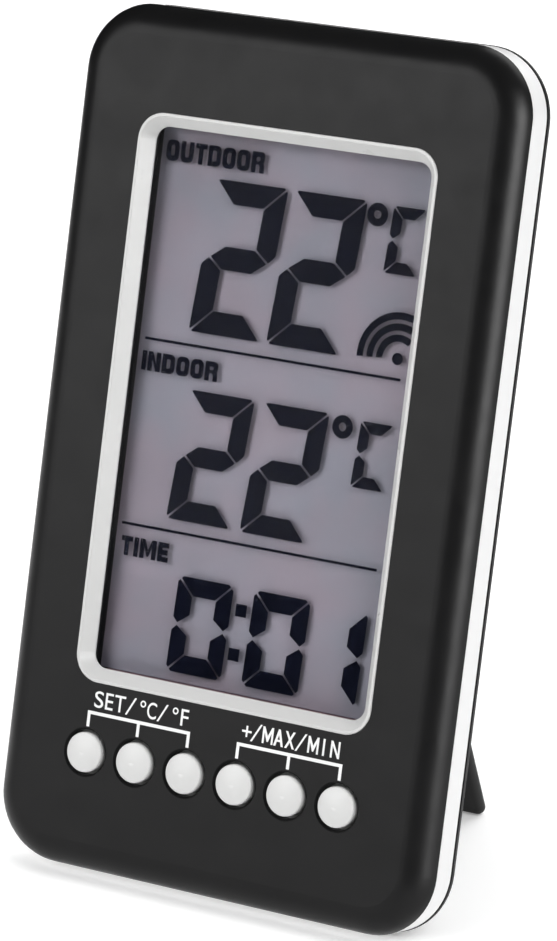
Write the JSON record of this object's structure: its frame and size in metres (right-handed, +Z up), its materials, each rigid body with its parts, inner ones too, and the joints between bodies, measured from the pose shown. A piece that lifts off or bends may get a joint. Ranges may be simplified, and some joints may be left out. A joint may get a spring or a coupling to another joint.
{
  "type": "maximum minimum thermometer",
  "caption": "Upright electronic thermometer with a tall segment display for outdoor and indoor temperature and time, a row of round buttons, a folding back stand, a battery bay and a wall hook hole.",
  "frame": {"origin": "middle of the footprint on the table it stands on: halfway across the case, and halfway from its front edge to the foot of the open stand", "axes": "+Z up from the table, +X to the reader's right, -Y towards the reader; the case leans back 14.6 degrees on its open stand"},
  "size_m": [0.0722, 0.0526, 0.1221],
  "materials": {
    "shell_black": "satin moulded ABS",
    "band_white": "gloss moulded ABS",
    "bezel_white": "semi-gloss moulded ABS",
    "button_white": "semi-gloss moulded ABS",
    "window_clear": "clear moulded styrene window",
    "lcd_film": "polarising film",
    "lcd_glass": "display glass",
    "lcd_reflector": "polarising film with a grey reflector",
    "frame_grey": "moulded ABS",
    "strip_rubber": "layered conductive silicone",
    "board_green": "glass-fibre circuit board with green mask",
    "resin_black": "black epoxy",
    "can_steel": "plated steel can",
    "pin_brass": "gilt pins",
    "aerial_copper": "enamelled copper wire",
    "bead_resin": "epoxy bead on tinned leads",
    "sleeve_black": "aluminium can in a black sleeve",
    "chip_ceramic": "ceramic chip parts",
    "mat_rubber": "silicone rubber",
    "pill_carbon": "carbon-loaded rubber",
    "screw_steel": "zinc-plated steel",
    "cell_sleeve": null,
    "contact_nickel": "nickel-plated spring steel"
  },
  "bodies": {
    "case": {"antenna_coil": "aerial_copper", "battery_link_contact": "contact_nickel", "battery_negative_contact": "contact_nickel", "battery_positive_contact": "contact_nickel", "board_screws": "screw_steel", "button_mat": "mat_rubber", "case_screws": "screw_steel", "chip_resistors": "chip_ceramic", "clock_crystal": "can_steel", "contact_strips": "strip_rubber", "controller_blob": "resin_black", "display_bezel": "bezel_white", "display_window": "window_clear", "front_shell": "shell_black", "lcd_frame": "frame_grey", "lcd_front_film": "lcd_film", "lcd_front_glass": "lcd_glass", "lcd_rear_glass": "lcd_glass", "lcd_reflector": "lcd_reflector", "lower_cell": "cell_sleeve", "main_board": "board_green", "radio_board": "board_green", "radio_chip": "resin_black", "radio_crystal": "can_steel", "radio_pins": "pin_brass", "rear_cover": "shell_black", "reservoir_capacitor": "sleeve_black", "side_band": "band_white", "thermistor": "bead_resin", "upper_cell": "cell_sleeve"},
    "kickstand": {"kickstand": "shell_black"},
    "battery_door": {"battery_door": "shell_black"},
    "set_button": {"set_button": "button_white", "set_contact_pill": "pill_carbon"},
    "celsius_button": {"celsius_button": "button_white", "celsius_contact_pill": "pill_carbon"},
    "fahrenheit_button": {"fahrenheit_button": "button_white", "fahrenheit_contact_pill": "pill_carbon"},
    "plus_button": {"plus_button": "button_white", "plus_contact_pill": "pill_carbon"},
    "max_button": {"max_button": "button_white", "max_contact_pill": "pill_carbon"},
    "min_button": {"min_button": "button_white", "min_contact_pill": "pill_carbon"}
  },
  "joints": [
    {"name": "set_press", "type": "slide", "parent": "case", "child": "set_button", "axis": [0, 0.9677, -0.2521], "range_m": [0, 0.0006], "stiffness_N_per_m": 500, "springref_m": -0.0004, "deforming": ["button_mat"]},
    {"name": "celsius_press", "type": "slide", "parent": "case", "child": "celsius_button", "axis": [0, 0.9677, -0.2521], "range_m": [0, 0.0006], "stiffness_N_per_m": 500, "springref_m": -0.0004, "deforming": ["button_mat"]},
    {"name": "fahrenheit_press", "type": "slide", "parent": "case", "child": "fahrenheit_button", "axis": [0, 0.9677, -0.2521], "range_m": [0, 0.0006], "stiffness_N_per_m": 500, "springref_m": -0.0004, "deforming": ["button_mat"]},
    {"name": "plus_press", "type": "slide", "parent": "case", "child": "plus_button", "axis": [0, 0.9677, -0.2521], "range_m": [0, 0.0006], "stiffness_N_per_m": 500, "springref_m": -0.0004, "deforming": ["button_mat"]},
    {"name": "max_press", "type": "slide", "parent": "case", "child": "max_button", "axis": [0, 0.9677, -0.2521], "range_m": [0, 0.0006], "stiffness_N_per_m": 500, "springref_m": -0.0004, "deforming": ["button_mat"]},
    {"name": "min_press", "type": "slide", "parent": "case", "child": "min_button", "axis": [0, 0.9677, -0.2521], "range_m": [0, 0.0006], "stiffness_N_per_m": 500, "springref_m": -0.0004, "deforming": ["button_mat"]},
    {"name": "stand_hinge", "type": "hinge", "parent": "case", "child": "kickstand", "pos_m": [0, 0.00558, 0.0499], "axis": [1, 0, 0], "range_deg": [-36.2, 0]},
    {"name": "door_hinge", "type": "hinge", "parent": "case", "child": "battery_door", "pos_m": [0, 0.01082, 0.06486], "axis": [-1, 0, 0], "range_deg": [0, 75]}
  ]
}
